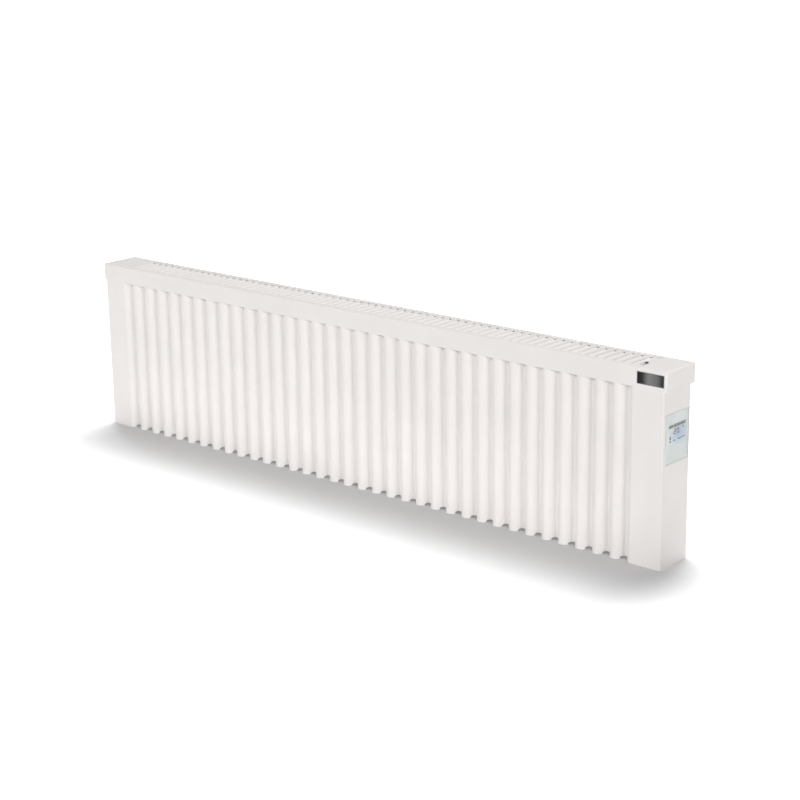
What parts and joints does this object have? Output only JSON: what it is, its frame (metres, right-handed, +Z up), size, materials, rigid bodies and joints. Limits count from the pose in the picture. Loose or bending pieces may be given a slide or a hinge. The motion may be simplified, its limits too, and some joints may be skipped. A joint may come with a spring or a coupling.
{
  "type": "wall-hung electric radiator",
  "caption": "Low, long wall-hung electric radiator with a fluted front shell, slotted top grille, clay storage core and a glass-faced thermostat on one end.",
  "frame": {"origin": "middle of the footprint on the floor, the wall brackets included", "axes": "+X along the length towards the thermostat end, +Y towards the wall, +Z up"},
  "size_m": [1.29, 0.1, 0.32],
  "materials": {
    "white_coat": "fine satin powder coat",
    "zinc_sheet": "galvanised sheet",
    "dark_plastic": "satin moulded",
    "dark_plate": "dark brushed plate with a polished rim",
    "fired_clay": "rough fired clay",
    "element_steel": "heat-tinted drawn tube",
    "bush_ceramic": "unglazed white ceramic",
    "insulation": "pressed mineral board",
    "display_glass": "flat touch glass, grey-green tint",
    "tray_plastic": "moulded",
    "display_cell": "backlit display cell",
    "circuit_board": "green solder resist",
    "block_plastic": "moulded black",
    "ribbon_film": "flat film",
    "lead_jacket": "silicone insulation",
    "reset_red": "moulded red",
    "switch_plastic": "moulded white",
    "rocker_plastic": "moulded white",
    "earth_brass": "turned",
    "sensor_steel": "drawn cap",
    "rubber": "moulded black rubber",
    "screw_zinc": "zinc plated"
  },
  "bodies": {
    "casing": {"front_shell": "white_coat", "rear_panel": "white_coat", "top_cap": "white_coat", "top_grille": "white_coat", "base_tray": "white_coat", "core_tray": "zinc_sheet", "core_posts": "zinc_sheet", "core_clamps": "zinc_sheet", "heat_shield": "zinc_sheet", "wall_bracket_left": "zinc_sheet", "wall_bracket_right": "zinc_sheet", "badge_plate": "dark_plate", "clay_plates_front": "fired_clay", "clay_plates_rear": "fired_clay", "heating_element_lower": "element_steel", "heating_element_upper": "element_steel", "ceramic_bushes": "bush_ceramic", "insulation_board": "insulation", "display_glass": "display_glass", "thermostat_tray": "tray_plastic", "board_spacers": "tray_plastic", "power_board_spacers": "tray_plastic", "lcd_module": "display_cell", "display_board": "circuit_board", "power_board": "circuit_board", "relay": "block_plastic", "supply_block": "block_plastic", "terminal_block": "block_plastic", "thermal_cutout": "block_plastic", "display_ribbon": "ribbon_film", "element_leads": "lead_jacket", "supply_leads": "lead_jacket", "sensor_lead": "lead_jacket", "mains_switch_body": "switch_plastic", "cable_gland": "switch_plastic", "gland_lock_nut": "switch_plastic", "earth_stud": "earth_brass", "earth_nut": "earth_brass", "room_sensor": "sensor_steel", "sensor_grommet": "rubber", "wall_buffers": "rubber", "casing_screws": "screw_zinc", "base_screws": "screw_zinc", "cap_screws": "screw_zinc"},
    "catch": {"grille_catch": "dark_plastic"},
    "rocker": {"mains_switch_rocker": "rocker_plastic"},
    "reset": {"cutout_reset_button": "reset_red"}
  },
  "joints": [
    {"name": "catch_slide", "type": "slide", "parent": "casing", "child": "catch", "axis": [-1, 0, 0], "range_m": [0, 0.005]},
    {"name": "rocker_tilt", "type": "hinge", "parent": "casing", "child": "rocker", "pos_m": [0.606, 0.012, 0.013], "axis": [0, 1, 0], "range_deg": [0, 16]},
    {"name": "reset_push", "type": "slide", "parent": "casing", "child": "reset", "axis": [-1, 0, 0], "range_m": [0, 0.002], "stiffness_N_per_m": 150, "springref_m": -0.001}
  ]
}
